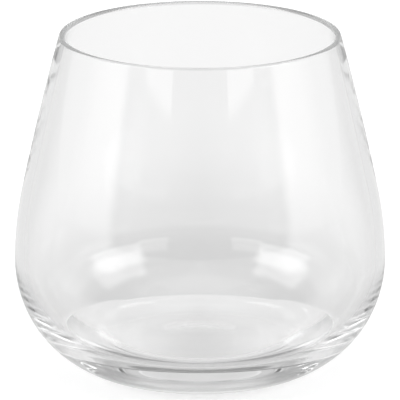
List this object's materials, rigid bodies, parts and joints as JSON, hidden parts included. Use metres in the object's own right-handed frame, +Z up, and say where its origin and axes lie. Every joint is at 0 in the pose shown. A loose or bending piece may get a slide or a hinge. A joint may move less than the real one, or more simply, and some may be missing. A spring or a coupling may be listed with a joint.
{
  "type": "rocks glass",
  "caption": "Stemless clear rocks glass with a wide low belly, a wall that leans in to a rounded rim, a thick floor and a shallow hollow under the foot.",
  "frame": {"origin": "centre of the foot, on the plane that the glass stands on", "axes": "+Z up along the axis of the glass, towards the rim; X and Y are any two directions across it, because the glass is round"},
  "size_m": [0.095, 0.095, 0.089],
  "materials": {
    "clear_glass": "fire-polished clear soda-lime glass"
  },
  "bodies": {
    "root": {"tumbler": "clear_glass"}
  },
  "joints": []
}
